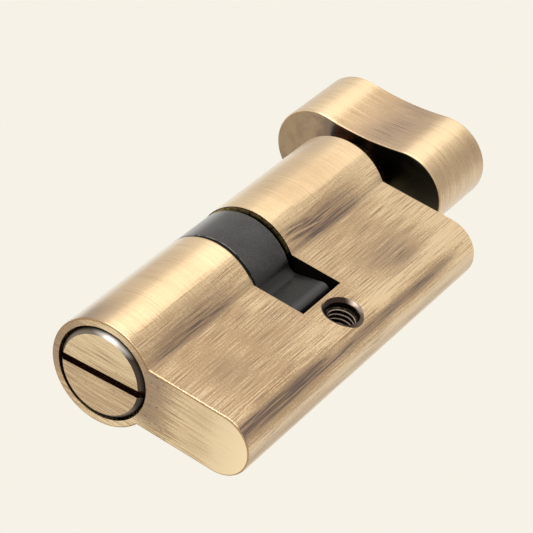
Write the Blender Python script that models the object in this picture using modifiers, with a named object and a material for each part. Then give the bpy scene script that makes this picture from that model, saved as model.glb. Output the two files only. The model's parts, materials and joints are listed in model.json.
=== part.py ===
# Turn-and-release lock cylinder of the euro profile
# Frame: origin in the fixing screw hole, at the middle of the leg's thickness.
# +Y runs along the barrel towards the thumbturn, +Z up from the leg to the barrel, +X through the leg.
# All sizes are in metres.

import math

import bmesh
import bpy
from mathutils import Matrix, Vector

# Clearances
RUN_CLEARANCE = 0.0002
HEAD_CLEARANCE = 0.00025
SEAT_GAP = 0.0003
FIT_CLEARANCE = 0.00015

# Housing
BARREL_RADIUS = 0.0085
END_WALL = 0.00115
LEG_THICKNESS = 0.010
LEG_BELOW_HOLE = 0.0054
RELEASE_LENGTH = 0.031
TURN_LENGTH = 0.031
HOUSING_EDGE_ROUND = 0.0003
FIXING_HOLE_RADIUS = 0.0025
COUNTERSINK_DEPTH = 0.00056
FIXING_WALL = 0.00064

# Cam and its slot
CAM_SLOT_WIDTH = 0.010
CAM_RELEASE_GAP = 0.0005
CAM_TURN_GAP = 0.0011
CAM_SINK = 0.0001
CAM_REACH = 0.0151
CAM_TIP_CLEARANCE = 0.0003
CAM_WEB = 0.0022
CAM_EDGE_ROUND = 0.0002
LOBE_NECK_HALF = 0.0026
LOBE_TIP_HALF = 0.0038
LOBE_FILLET = 0.0017
LOBE_CORNER = 0.0013

# Plugs
HEAD_LENGTH = 0.0027
HEAD_STEP = 0.0010
FACE_PROUD = 0.00045
FACE_CHAMFER = 0.0008
END_CHAMFER = 0.0003
COIN_SLOT_WIDTH = 0.00115
COIN_SLOT_DEPTH = 0.0022

# Circlips and washers
CLIP_THICKNESS = 0.0007
CLIP_STAND = 0.00075
CLIP_OPENING = 50.0
GROOVE_DEPTH = 0.0005
WASHER_THICKNESS = 0.0005

# Coupling bar and its pin
BAR_WIDTH = 0.0080
BAR_THICKNESS = 0.0022
BAR_LENGTH = 0.024
BAR_EDGE = 0.0003
PIN_RADIUS = 0.0008
PIN_FROM_BAR_END = 0.0035

# Thumbturn
NECK_RADIUS = 0.00475
NECK_LENGTH = 0.0054
NECK_SINK = 0.0007
SHAFT_RADIUS = 0.0030
SHAFT_REACH = 0.0090
SHAFT_FLAT = 0.0005
KNOB_THICKNESS = 0.0140
KNOB_LOBE_RADIUS = 0.0070
KNOB_LOBE_SPACING = 0.01568
KNOB_WAIST = 0.0128
KNOB_EDGE_ROUND = 0.0003

# Grub screw
GRUB_RADIUS = 0.0020
GRUB_SINK = 0.0004
GRUB_FROM_KNOB_FACE = 0.0045
GRUB_SOCKET_FLATS = 0.0020
GRUB_SOCKET_DEPTH = 0.0016

# Detent
DETENT_FROM_END = 0.011
BALL_RADIUS = 0.00125
BALL_STAND = 0.00005
DETENT_HOLE_FLOOR = 0.0025
NOTCH_DEPTH = 0.0004
NOTCH_COUNT = 4
SPRING_WIRE = 0.00015
SPRING_TURNS = 5

# Turn of the rotor about +Y at rest, in degrees, from the lobe pointing straight down
REST_ANGLE = -4.4

# Facets on a full circle
ROUND_STEPS = 64
INNER_STEPS = 40
SMALL_STEPS = 24
SMOOTH_ANGLE = math.radians(25)

# Worked out from the sizes above
SLOT_HALF = CAM_SLOT_WIDTH / 2
SLOT_REACH = CAM_REACH + CAM_TIP_CLEARANCE
COUNTERSINK_RADIUS = FIXING_HOLE_RADIUS + COUNTERSINK_DEPTH
AXIS_HEIGHT = SLOT_REACH + FIXING_WALL + COUNTERSINK_RADIUS
LEG_DROP = AXIS_HEIGHT + LEG_BELOW_HOLE
LEG_HALF = LEG_THICKNESS / 2
HEAD_BORE_RADIUS = BARREL_RADIUS - END_WALL
HEAD_RADIUS = HEAD_BORE_RADIUS - HEAD_CLEARANCE
PLUG_RADIUS = HEAD_RADIUS - HEAD_STEP
BORE_RADIUS = PLUG_RADIUS + RUN_CLEARANCE
CAM_START = -SLOT_HALF + CAM_RELEASE_GAP
CAM_END = SLOT_HALF - CAM_TURN_GAP
CAM_MIDDLE = (CAM_START + CAM_END) / 2
CAM_RING_RADIUS = BARREL_RADIUS - CAM_SINK
WEB_START = CAM_MIDDLE - CAM_WEB / 2
WEB_END = CAM_MIDDLE + CAM_WEB / 2
GROOVE_RADIUS = PLUG_RADIUS - GROOVE_DEPTH
CLIP_OUTER = PLUG_RADIUS + CLIP_STAND
CLIP_INNER = GROOVE_RADIUS + FIT_CLEARANCE
WASHER_NEAR = SLOT_HALF - SEAT_GAP
WASHER_FAR = WASHER_NEAR - WASHER_THICKNESS
CLIP_NEAR = WASHER_FAR - SEAT_GAP
CLIP_FAR = CLIP_NEAR - CLIP_THICKNESS
CAM_RECESS_RADIUS = CLIP_OUTER + SEAT_GAP
BAR_START = CAM_MIDDLE - BAR_LENGTH / 2
BAR_END = CAM_MIDDLE + BAR_LENGTH / 2
PIN_Y = BAR_END - PIN_FROM_BAR_END
KNOB_START = TURN_LENGTH + NECK_LENGTH
KNOB_END = KNOB_START + KNOB_THICKNESS
SHAFT_END = KNOB_START + SHAFT_REACH
GRUB_Y = KNOB_START + GRUB_FROM_KNOB_FACE
DETENT_Y = TURN_LENGTH - DETENT_FROM_END
DETENT_HOLE_RADIUS = BALL_RADIUS + FIT_CLEARANCE
BALL_DROP = PLUG_RADIUS + BALL_STAND - BALL_RADIUS


def clear_scene():
    for obj in list(bpy.data.objects):
        bpy.data.objects.remove(obj, do_unlink=True)


def new_collection(name):
    collection = bpy.data.collections.new(name)
    bpy.context.scene.collection.children.link(collection)
    return collection


def new_material(name, color, metallic, roughness):
    material = bpy.data.materials.new(name)
    material.use_nodes = True
    shader = material.node_tree.nodes["Principled BSDF"]
    shader.inputs["Base Color"].default_value = (*color, 1.0)
    shader.inputs["Metallic"].default_value = metallic
    shader.inputs["Roughness"].default_value = roughness
    material.diffuse_color = (*color, 1.0)
    return material


def new_pivot(name, location, angle_y=0.0, parent=None):
    pivot = bpy.data.objects.new(name, None)
    pivot.empty_display_size = 0.005
    pivot.location = location
    pivot.rotation_euler = (0.0, angle_y, 0.0)
    pivot.parent = parent
    PARTS.objects.link(pivot)
    return pivot


def add_object(name, mesh, collection, parent, matrix=None):
    obj = bpy.data.objects.new(name, mesh)
    collection.objects.link(obj)
    obj.parent = parent
    if matrix is not None:
        obj.matrix_local = matrix
    if collection == CUTTERS:
        obj.hide_render = True
        obj.display_type = "WIRE"
    return obj


def mesh_from_bmesh(name, bm):
    bmesh.ops.recalc_face_normals(bm, faces=bm.faces)
    mesh = bpy.data.meshes.new(name)
    bm.to_mesh(mesh)
    bm.free()
    return mesh


# Local Z of a turned or extruded piece is laid along the barrel
ALONG_BARREL = Matrix.Rotation(math.radians(-90), 4, "X")


def arc(centre, radius, start, end, steps=ROUND_STEPS):
    """Points on an arc from start to end, in degrees, with both ends."""
    count = max(2, math.ceil(abs(end - start) / 360 * steps))
    points = []
    for i in range(count + 1):
        angle = math.radians(start + (end - start) * i / count)
        points.append((centre[0] + radius * math.cos(angle), centre[1] + radius * math.sin(angle)))
    return points


def heading(direction):
    """Angle of a flat direction, in degrees."""
    return math.degrees(math.atan2(direction[1], direction[0]))


def extruded(name, outline, start, end, collection, parent):
    """A flat outline in X and Z, extruded along the barrel from start to end."""
    curve = bpy.data.curves.new(name + "_outline", "CURVE")
    curve.dimensions = "2D"
    curve.fill_mode = "BOTH"
    curve.extrude = (end - start) / 2
    spline = curve.splines.new("POLY")
    spline.points.add(len(outline) - 1)
    for point, (x, z) in zip(spline.points, outline):
        point.co = (x, -z, 0.0, 1.0)
    spline.use_cyclic_u = True
    drawn = bpy.data.objects.new(name + "_outline", curve)
    CUTTERS.objects.link(drawn)
    depsgraph = bpy.context.evaluated_depsgraph_get()
    mesh = bpy.data.meshes.new_from_object(drawn.evaluated_get(depsgraph))
    bpy.data.objects.remove(drawn, do_unlink=True)
    bm = bmesh.new()
    bm.from_mesh(mesh)
    bpy.data.meshes.remove(mesh)
    bmesh.ops.remove_doubles(bm, verts=bm.verts, dist=0.000001)
    bmesh.ops.dissolve_limit(bm, angle_limit=math.radians(0.5), verts=bm.verts, edges=bm.edges)
    place = Matrix.Translation((0, (start + end) / 2, 0)) @ ALONG_BARREL
    return add_object(name, mesh_from_bmesh(name, bm), collection, parent, place)


def turned(name, profile, collection, parent, closed=False, steps=ROUND_STEPS):
    """A profile of (radius, place along the barrel), by rising place, turned about the barrel axis."""
    bm = bmesh.new()
    corners = [bm.verts.new((radius, 0.0, y)) for radius, y in reversed(profile)]
    for first, second in zip(corners, corners[1:]):
        bm.edges.new((first, second))
    if closed:
        bm.edges.new((corners[-1], corners[0]))
    mesh = bpy.data.meshes.new(name)
    bm.to_mesh(mesh)
    bm.free()
    obj = add_object(name, mesh, collection, parent, ALONG_BARREL)
    screw = obj.modifiers.new("turn", "SCREW")
    screw.axis = "Z"
    screw.steps = steps
    screw.render_steps = steps
    screw.use_merge_vertices = True
    screw.merge_threshold = 0.000001
    return obj


def ring(name, inner, outer, start, end, collection, parent):
    profile = [(outer, start), (outer, end), (inner, end), (inner, start)]
    return turned(name, profile, collection, parent, closed=True, steps=INNER_STEPS)


def box(name, low, high, collection, parent):
    bm = bmesh.new()
    bmesh.ops.create_cube(bm, size=1.0)
    size = Vector(high) - Vector(low)
    middle = (Vector(high) + Vector(low)) / 2
    bmesh.ops.scale(bm, vec=size, verts=bm.verts)
    bmesh.ops.translate(bm, vec=middle, verts=bm.verts)
    return add_object(name, mesh_from_bmesh(name, bm), collection, parent)


def rod(name, radius, start, end, collection, parent, steps=SMALL_STEPS, end_radius=None):
    """A round rod or cone between two points."""
    bm = bmesh.new()
    start = Vector(start)
    direction = Vector(end) - start
    turn = Vector((0, 0, 1)).rotation_difference(direction).to_matrix().to_4x4()
    place = Matrix.Translation(start + direction / 2) @ turn
    last = radius if end_radius is None else end_radius
    bmesh.ops.create_cone(
        bm, cap_ends=True, segments=steps, radius1=radius, radius2=last, depth=direction.length, matrix=place)
    return add_object(name, mesh_from_bmesh(name, bm), collection, parent)


def cut(obj, cutters):
    for cutter in cutters:
        modifier = obj.modifiers.new(cutter.name, "BOOLEAN")
        modifier.operation = "DIFFERENCE"
        modifier.solver = "EXACT"
        modifier.object = cutter


def round_edges(obj, width, segments, angle):
    bevel = obj.modifiers.new("edge_round", "BEVEL")
    bevel.width = width
    bevel.segments = segments
    bevel.limit_method = "ANGLE"
    bevel.angle_limit = math.radians(angle)


def settle(obj, material):
    """Replaces the object's mesh with its evaluated one, shaded smooth with sharp edges kept."""
    depsgraph = bpy.context.evaluated_depsgraph_get()
    mesh = bpy.data.meshes.new_from_object(obj.evaluated_get(depsgraph))
    obj.modifiers.clear()
    obj.data = mesh
    mesh.shade_smooth()
    mesh.set_sharp_from_angle(angle=SMOOTH_ANGLE)
    mesh.materials.clear()
    mesh.materials.append(material)
    mesh.name = obj.name


def housing_outline():
    """Barrel circle from corner to corner over the top, then the leg with its round bottom."""
    corner = heading((LEG_HALF, -math.sqrt(BARREL_RADIUS**2 - LEG_HALF**2)))
    barrel = arc((0, AXIS_HEIGHT), BARREL_RADIUS, corner, 180 - corner)
    bottom = arc((0, AXIS_HEIGHT - LEG_DROP + LEG_HALF), LEG_HALF, 180, 360)
    return barrel + bottom


def make_housing(root, axis, material):
    housing = extruded("housing", housing_outline(), -RELEASE_LENGTH, TURN_LENGTH, PARTS, root)
    round_edges(housing, HOUSING_EDGE_ROUND, 2, 75)
    over = BARREL_RADIUS * 2
    slot = box(
        "cut_cam_slot", (-over, -SLOT_HALF, AXIS_HEIGHT - SLOT_REACH), (over, SLOT_HALF, AXIS_HEIGHT + over),
        CUTTERS, root)
    past = HEAD_LENGTH
    head_depth = HEAD_LENGTH + SEAT_GAP
    bore = turned(
        "cut_bore",
        [
            (0, -RELEASE_LENGTH - past),
            (HEAD_BORE_RADIUS, -RELEASE_LENGTH - past),
            (HEAD_BORE_RADIUS, -RELEASE_LENGTH + head_depth),
            (BORE_RADIUS, -RELEASE_LENGTH + head_depth),
            (BORE_RADIUS, TURN_LENGTH - head_depth),
            (HEAD_BORE_RADIUS, TURN_LENGTH - head_depth),
            (HEAD_BORE_RADIUS, TURN_LENGTH + past),
            (0, TURN_LENGTH + past),
        ],
        CUTTERS, axis)
    hole = fixing_hole_cutter(root)
    notches = [notch_cutter(i, axis) for i in range(NOTCH_COUNT)]
    cut(housing, [slot, bore, hole] + notches)
    settle(housing, material)
    return housing


def fixing_hole_cutter(root):
    """Hole through the leg with a countersink on both sides, turned about X."""
    past = COUNTERSINK_DEPTH
    deep = LEG_HALF - COUNTERSINK_DEPTH
    wide = COUNTERSINK_RADIUS + past
    profile = [
        (0, -LEG_HALF - past),
        (wide, -LEG_HALF - past),
        (FIXING_HOLE_RADIUS, -deep),
        (FIXING_HOLE_RADIUS, deep),
        (wide, LEG_HALF + past),
        (0, LEG_HALF + past),
    ]
    hole = turned("cut_fixing_hole", profile, CUTTERS, root, steps=INNER_STEPS)
    hole.matrix_local = Matrix.Rotation(math.radians(90), 4, "Y")
    return hole


def notch_cutter(index, axis):
    """Ball-shaped notch in the bore's wall, where the detent ball drops in."""
    radius = DETENT_HOLE_RADIUS
    bm = bmesh.new()
    bmesh.ops.create_uvsphere(bm, u_segments=SMALL_STEPS // 2, v_segments=SMALL_STEPS // 4, radius=radius)
    away = BORE_RADIUS + NOTCH_DEPTH - radius
    turn = Matrix.Rotation(2 * math.pi * index / NOTCH_COUNT, 4, "Y")
    place = turn @ Matrix.Translation((0, DETENT_Y, -away))
    return add_object(f"cut_notch_{index}", mesh_from_bmesh("notch", bm), CUTTERS, axis, place)


def make_release_plug(rotor, material):
    face = -RELEASE_LENGTH - FACE_PROUD
    end = WEB_START - SEAT_GAP
    profile = [
        (0, face),
        (HEAD_RADIUS - FACE_CHAMFER, face),
        (HEAD_RADIUS, face + FACE_CHAMFER),
        (HEAD_RADIUS, -RELEASE_LENGTH + HEAD_LENGTH),
        (PLUG_RADIUS, -RELEASE_LENGTH + HEAD_LENGTH),
        (PLUG_RADIUS, -CLIP_NEAR - FIT_CLEARANCE),
        (GROOVE_RADIUS, -CLIP_NEAR - FIT_CLEARANCE),
        (GROOVE_RADIUS, -CLIP_FAR + FIT_CLEARANCE),
        (PLUG_RADIUS, -CLIP_FAR + FIT_CLEARANCE),
        (PLUG_RADIUS, end - END_CHAMFER),
        (PLUG_RADIUS - END_CHAMFER, end),
        (0, end),
    ]
    plug = turned("release_plug", profile, PARTS, rotor)
    wide = HEAD_RADIUS * 2
    slot = box(
        "cut_coin_slot", (-COIN_SLOT_WIDTH / 2, face - FACE_CHAMFER, -wide),
        (COIN_SLOT_WIDTH / 2, face + COIN_SLOT_DEPTH, wide), CUTTERS, rotor)
    pocket = bar_pocket("cut_release_pocket", BAR_START - SEAT_GAP, end + SEAT_GAP, rotor)
    cut(plug, [slot, pocket])
    settle(plug, material)
    return plug


def bar_pocket(name, start, end, rotor):
    across = BAR_THICKNESS / 2 + SEAT_GAP
    along = BAR_WIDTH / 2 + SEAT_GAP
    return box(name, (-across, start, -along), (across, end, along), CUTTERS, rotor)


def make_turn_spindle(rotor, material):
    start = WEB_END + SEAT_GAP
    profile = [
        (0, start),
        (PLUG_RADIUS - END_CHAMFER, start),
        (PLUG_RADIUS, start + END_CHAMFER),
        (PLUG_RADIUS, CLIP_FAR - FIT_CLEARANCE),
        (GROOVE_RADIUS, CLIP_FAR - FIT_CLEARANCE),
        (GROOVE_RADIUS, CLIP_NEAR + FIT_CLEARANCE),
        (PLUG_RADIUS, CLIP_NEAR + FIT_CLEARANCE),
        (PLUG_RADIUS, TURN_LENGTH - HEAD_LENGTH),
        (HEAD_RADIUS, TURN_LENGTH - HEAD_LENGTH),
        (HEAD_RADIUS, TURN_LENGTH - END_CHAMFER),
        (HEAD_RADIUS - END_CHAMFER, TURN_LENGTH),
        (NECK_RADIUS, TURN_LENGTH),
        (NECK_RADIUS, KNOB_START + NECK_SINK),
        (SHAFT_RADIUS, KNOB_START + NECK_SINK),
        (SHAFT_RADIUS, SHAFT_END - END_CHAMFER),
        (SHAFT_RADIUS - END_CHAMFER, SHAFT_END),
        (0, SHAFT_END),
    ]
    spindle = turned("turn_spindle", profile, PARTS, rotor)
    pocket = bar_pocket("cut_turn_pocket", start - SEAT_GAP, BAR_END + SEAT_GAP, rotor)
    flat_start = GRUB_Y - GRUB_RADIUS - SEAT_GAP
    flat = box(
        "cut_shaft_flat", (-2 * SHAFT_RADIUS, flat_start, -2 * SHAFT_RADIUS),
        (-SHAFT_RADIUS + SHAFT_FLAT, SHAFT_END + END_CHAMFER, 2 * SHAFT_RADIUS), CUTTERS, rotor)
    hole = rod(
        "cut_detent_hole", DETENT_HOLE_RADIUS, (0, DETENT_Y, DETENT_HOLE_FLOOR),
        (0, DETENT_Y, -2 * PLUG_RADIUS), CUTTERS, rotor)
    cut(spindle, [pocket, pin_hole("cut_spindle_pin_hole", rotor), flat, hole])
    settle(spindle, material)
    return spindle


def pin_hole(name, rotor):
    reach = 2 * PLUG_RADIUS
    return rod(name, PIN_RADIUS + FIT_CLEARANCE, (-reach, PIN_Y, 0), (reach, PIN_Y, 0), CUTTERS, rotor)


def make_coupling(rotor, material):
    bar = box(
        "coupling_bar", (-BAR_THICKNESS / 2, BAR_START, -BAR_WIDTH / 2),
        (BAR_THICKNESS / 2, BAR_END, BAR_WIDTH / 2), PARTS, rotor)
    round_edges(bar, BAR_EDGE, 1, 30)
    cut(bar, [pin_hole("cut_bar_pin_hole", rotor)])
    settle(bar, material)
    reach = PLUG_RADIUS - SEAT_GAP
    pin = rod("coupling_pin", PIN_RADIUS, (-reach, PIN_Y, 0), (reach, PIN_Y, 0), PARTS, rotor)
    settle(pin, material)


def make_washers(rotor, material):
    inner = PLUG_RADIUS + RUN_CLEARANCE
    for name, side in (("release_washer", -1), ("turn_washer", 1)):
        start, end = sorted((side * WASHER_NEAR, side * WASHER_FAR))
        washer = ring(name, inner, CLIP_OUTER, start, end, PARTS, rotor)
        settle(washer, material)


def make_circlips(rotor, material):
    first = 90 + CLIP_OPENING / 2
    last = 450 - CLIP_OPENING / 2
    outline = arc((0, 0), CLIP_OUTER, first, last, INNER_STEPS)
    outline += arc((0, 0), CLIP_INNER, last, first, INNER_STEPS)
    for name, side in (("release_circlip", -1), ("turn_circlip", 1)):
        start, end = sorted((side * CLIP_NEAR, side * CLIP_FAR))
        clip = extruded(name, outline, start, end, PARTS, rotor)
        settle(clip, material)


def cam_outline():
    """Ring circle, hollow fillets into the flared lobe, and the lobe's tip on its own circle."""
    ring_radius = CAM_RING_RADIUS
    neck = Vector((LOBE_NECK_HALF, -ring_radius))
    tip = Vector((LOBE_TIP_HALF, -CAM_REACH))
    along = (tip - neck).normalized()
    outward = Vector((-along.y, along.x))

    def on_flank(offset, reach):
        """Point at a signed distance from the flank line and at a radius from the barrel axis."""
        base = neck + outward * offset
        middle = -base.dot(along)
        nearest = base + along * middle
        return nearest + along * math.sqrt(reach**2 - nearest.length_squared)

    fillet = on_flank(LOBE_FILLET, ring_radius + LOBE_FILLET)
    corner = on_flank(-LOBE_CORNER, CAM_REACH - LOBE_CORNER)
    ring_end = heading(fillet)
    corner_end = heading(corner)
    side = arc((0, 0), ring_radius, 90, ring_end)
    side += arc(fillet, LOBE_FILLET, heading(-fillet) % 360, heading(-outward) % 360, INNER_STEPS)[1:]
    side += arc(corner, LOBE_CORNER, heading(outward), corner_end, INNER_STEPS)
    side += arc((0, 0), CAM_REACH, corner_end, -90)[1:]
    return side + [(-x, z) for x, z in reversed(side[1:-1])]


def make_cam(rotor, material):
    cam = extruded("cam", cam_outline(), CAM_START, CAM_END, PARTS, rotor)
    round_edges(cam, CAM_EDGE_ROUND, 2, 60)
    past = CAM_WEB
    recesses = []
    for name, start, end in (
        ("cut_cam_release_recess", CAM_START - past, WEB_START),
        ("cut_cam_turn_recess", WEB_END, CAM_END + past),
    ):
        profile = [(0, start), (CAM_RECESS_RADIUS, start), (CAM_RECESS_RADIUS, end), (0, end)]
        recesses.append(turned(name, profile, CUTTERS, rotor))
    slot = bar_pocket("cut_cam_bar_slot", WEB_START - past, WEB_END + past, rotor)
    cut(cam, recesses + [slot])
    settle(cam, material)
    return cam


def knob_outline():
    """Two round lobes joined by hollow arcs that touch them smoothly."""
    spread = KNOB_LOBE_SPACING / 2
    lobe = KNOB_LOBE_RADIUS
    waist = KNOB_WAIST / 2
    hollow = (spread**2 + waist**2 - lobe**2) / (2 * (lobe - waist))
    centre = waist + hollow
    turn = heading((centre, spread))
    outline = arc((0, spread), lobe, -turn, 180 + turn)
    outline += arc((-centre, 0), hollow, turn, -turn, ROUND_STEPS * 2)[1:-1]
    outline += arc((0, -spread), lobe, 180 - turn, 360 + turn)
    outline += arc((centre, 0), hollow, 180 + turn, 180 - turn, ROUND_STEPS * 2)[1:-1]
    return outline


def make_knob(rotor, material):
    knob = extruded("thumbturn_knob", knob_outline(), KNOB_START, KNOB_END, PARTS, rotor)
    round_edges(knob, KNOB_EDGE_ROUND, 2, 60)
    past = NECK_SINK
    bore = turned(
        "cut_knob_bore",
        [
            (0, KNOB_START - past),
            (NECK_RADIUS + FIT_CLEARANCE, KNOB_START - past),
            (NECK_RADIUS + FIT_CLEARANCE, KNOB_START + NECK_SINK + SEAT_GAP),
            (SHAFT_RADIUS + FIT_CLEARANCE, KNOB_START + NECK_SINK + SEAT_GAP),
            (SHAFT_RADIUS + FIT_CLEARANCE, SHAFT_END + SEAT_GAP),
            (0, SHAFT_END + SEAT_GAP),
        ],
        CUTTERS, rotor)
    hole_radius = GRUB_RADIUS + FIT_CLEARANCE
    hole = rod("cut_grub_hole", hole_radius, (-KNOB_WAIST, GRUB_Y, 0), (0, GRUB_Y, 0), CUTTERS, rotor)
    cut(knob, [bore, hole])
    settle(knob, material)
    return knob


def make_grub_screw(rotor, material):
    outer = -KNOB_WAIST / 2 + GRUB_SINK
    tip = -SHAFT_RADIUS + SHAFT_FLAT - FIT_CLEARANCE
    chamfer = END_CHAMFER
    profile = [
        (0, outer),
        (GRUB_RADIUS - chamfer, outer),
        (GRUB_RADIUS, outer + chamfer),
        (GRUB_RADIUS, tip - chamfer),
        (GRUB_RADIUS - chamfer, tip),
        (0, tip),
    ]
    screw = turned("knob_grub_screw", profile, PARTS, rotor, steps=SMALL_STEPS)
    screw.matrix_local = Matrix.Translation((0, GRUB_Y, 0)) @ Matrix.Rotation(math.radians(90), 4, "Y")
    corner = GRUB_SOCKET_FLATS / math.sqrt(3)
    socket = rod(
        "cut_grub_socket", corner, (outer - chamfer, GRUB_Y, 0), (outer + GRUB_SOCKET_DEPTH, GRUB_Y, 0),
        CUTTERS, rotor, steps=6)
    cut(screw, [socket])
    settle(screw, material)
    return screw


def make_detent(rotor, detent, material):
    bm = bmesh.new()
    bmesh.ops.create_uvsphere(bm, u_segments=SMALL_STEPS, v_segments=SMALL_STEPS // 2, radius=BALL_RADIUS)
    ball = add_object("detent_ball", mesh_from_bmesh("detent_ball", bm), PARTS, detent)
    settle(ball, material)
    start = DETENT_HOLE_FLOOR - SPRING_WIRE - FIT_CLEARANCE
    end = -BALL_DROP + BALL_RADIUS + SPRING_WIRE + FIT_CLEARANCE
    coil_radius = DETENT_HOLE_RADIUS - FIT_CLEARANCE - SPRING_WIRE
    curve = bpy.data.curves.new("detent_spring", "CURVE")
    curve.dimensions = "3D"
    curve.bevel_depth = SPRING_WIRE
    curve.bevel_resolution = 2
    curve.use_fill_caps = True
    spline = curve.splines.new("POLY")
    steps = SPRING_TURNS * SMALL_STEPS // 2
    spline.points.add(steps)
    for i, point in enumerate(spline.points):
        angle = 2 * math.pi * SPRING_TURNS * i / steps
        z = start + (end - start) * i / steps
        point.co = (coil_radius * math.cos(angle), DETENT_Y + coil_radius * math.sin(angle), z, 1.0)
    curve.materials.append(material)
    spring = bpy.data.objects.new("detent_spring", curve)
    PARTS.objects.link(spring)
    spring.parent = rotor


clear_scene()
PARTS = new_collection("lock_cylinder")
CUTTERS = new_collection("cutters")

brass = new_material("antique_brass", (0.60, 0.47, 0.29), 1.0, 0.34)
plain_brass = new_material("turned_brass", (0.66, 0.52, 0.28), 1.0, 0.28)
black_steel = new_material("blackened_steel", (0.06, 0.06, 0.065), 0.6, 0.5)
steel = new_material("plain_steel", (0.50, 0.50, 0.51), 1.0, 0.32)

root_pivot = new_pivot("cylinder_root", (0, 0, 0))
axis_pivot = new_pivot("barrel_axis", (0, 0, AXIS_HEIGHT), parent=root_pivot)
rotor_pivot = new_pivot("rotor_axis", (0, 0, AXIS_HEIGHT), math.radians(REST_ANGLE), root_pivot)
detent_pivot = new_pivot("detent_slide", (0, DETENT_Y, -BALL_DROP), parent=rotor_pivot)

make_housing(root_pivot, axis_pivot, brass)
make_release_plug(rotor_pivot, brass)
make_turn_spindle(rotor_pivot, plain_brass)
make_cam(rotor_pivot, black_steel)
make_coupling(rotor_pivot, steel)
make_washers(rotor_pivot, steel)
make_circlips(rotor_pivot, steel)
make_knob(rotor_pivot, brass)
make_grub_screw(rotor_pivot, steel)
make_detent(rotor_pivot, detent_pivot, steel)
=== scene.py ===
import json
import math

import bmesh
import bpy
from mathutils import Matrix, Vector

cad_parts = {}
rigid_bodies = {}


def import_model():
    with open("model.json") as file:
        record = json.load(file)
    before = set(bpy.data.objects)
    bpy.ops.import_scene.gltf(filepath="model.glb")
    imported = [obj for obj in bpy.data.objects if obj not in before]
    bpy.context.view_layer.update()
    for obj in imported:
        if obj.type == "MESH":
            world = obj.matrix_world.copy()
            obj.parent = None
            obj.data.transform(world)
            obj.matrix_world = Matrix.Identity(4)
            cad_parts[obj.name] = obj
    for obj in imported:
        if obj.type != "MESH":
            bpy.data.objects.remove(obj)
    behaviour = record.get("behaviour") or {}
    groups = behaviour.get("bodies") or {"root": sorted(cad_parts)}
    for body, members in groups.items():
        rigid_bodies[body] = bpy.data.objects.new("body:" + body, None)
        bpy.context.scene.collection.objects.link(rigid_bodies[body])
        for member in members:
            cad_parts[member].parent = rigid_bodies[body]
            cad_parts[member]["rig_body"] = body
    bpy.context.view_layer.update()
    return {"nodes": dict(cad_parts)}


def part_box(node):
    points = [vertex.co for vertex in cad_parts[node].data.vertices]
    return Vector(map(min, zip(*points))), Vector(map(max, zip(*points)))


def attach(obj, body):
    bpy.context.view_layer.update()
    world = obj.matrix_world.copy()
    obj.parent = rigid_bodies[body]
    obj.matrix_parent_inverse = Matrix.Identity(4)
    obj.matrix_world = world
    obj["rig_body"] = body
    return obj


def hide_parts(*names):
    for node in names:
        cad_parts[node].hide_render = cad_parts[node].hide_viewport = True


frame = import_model()

# Frame in metres: origin in the fixing screw's hole, +Y along the barrel to the thumbturn, +Z from the leg
# up to the barrel
MM = 0.001
HOUSING_LOW, HOUSING_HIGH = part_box("housing")
CAM_LOW, CAM_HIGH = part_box("cam")
PLUG_LOW, PLUG_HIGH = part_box("release_plug")
KNOB_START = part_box("thumbturn_knob")[0].y
BARREL_RADIUS = HOUSING_HIGH.x
BARREL_END = HOUSING_HIGH.y
PLUG_RADIUS = PLUG_HIGH.x
AXIS_HEIGHT = HOUSING_HIGH.z - BARREL_RADIUS
LEG_HALF = 5.0 * MM
CORNER_DROP = math.sqrt(BARREL_RADIUS**2 - LEG_HALF**2)
LEG_BOTTOM_CENTRE = HOUSING_LOW.z + LEG_HALF
SLOT_HALF = 5.0 * MM
HOLE_RADIUS = 2.5 * MM
COUNTERSINK_RADIUS = 3.06 * MM

# Thread of the fixing hole: pitch, the crest's radius, half widths at root and crest, and steps in a turn
THREAD_PITCH = 0.8 * MM
THREAD_CREST = 2.07 * MM
THREAD_ROOT_HALF = 0.392 * THREAD_PITCH
THREAD_CREST_HALF = 0.0784 * THREAD_PITCH
THREAD_STEPS = 48
THREAD_SHARP_ANGLE = math.radians(40)

# Broken edges: their widths, how much wider the plug's rim is rounded, and what counts as an edge
HOUSING_EDGE = 0.08 * MM
PLUG_EDGE = 0.05 * MM
PLUG_RIM_ROUNDING = 7.0
PLUG_RIM_DEPTH = 1.0 * MM
PLUG_RIM_START = 0.8 * PLUG_RADIUS
CAM_EDGE = 0.10 * MM
EDGE_SEGMENTS = 2
ROUNDED_SEGMENTS = 5
SHARP_ANGLE = math.radians(33)
FLAT_ANGLE = math.radians(0.4)
WELD_DISTANCE = 0.0005 * MM
LEVEL_DISTANCE = 0.001 * MM
NORMAL_WEIGHT = 100

# Camera at the photograph's viewing angle
CAMERA_PLACE = Vector((0.230098, -0.264409, -0.108893))
CAMERA_AIM = Vector((0.009049, -0.004806, 0.011136))
CAMERA_UP = Vector((0.767186, 0.435534, 0.470889))
CAMERA_LENS = 173.641
FILM_WIDTH = 36.0
CLIP_START = 0.01
CLIP_END = 20.0

# Soft boxes round the object's middle: direction, distance, width, height and power
LIT_MIDDLE = Vector((0.0, 0.005727, 0.016173))
SOFT_BOXES = {
    "overhead_box": ((0.928, 0.31, 0.204), 0.7, 0.25, 0.60, 1.9),
    "key_box": ((0.72, -0.63, 0.28), 0.6, 0.20, 0.26, 0.5),
}

# Light from all round, and the floor
AMBIENT = (1.0, 0.98, 0.95)
AMBIENT_STRENGTH = 0.8
FLOOR_HALF = 2.5
FLOOR_HEIGHT = -0.6
FLOOR_ROUGHNESS = 0.9

# Directions along the object's X and Y
ALONG_X = (1.0, 0.0, 0.0)
ALONG_Y = (0.0, 1.0, 0.0)

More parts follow.
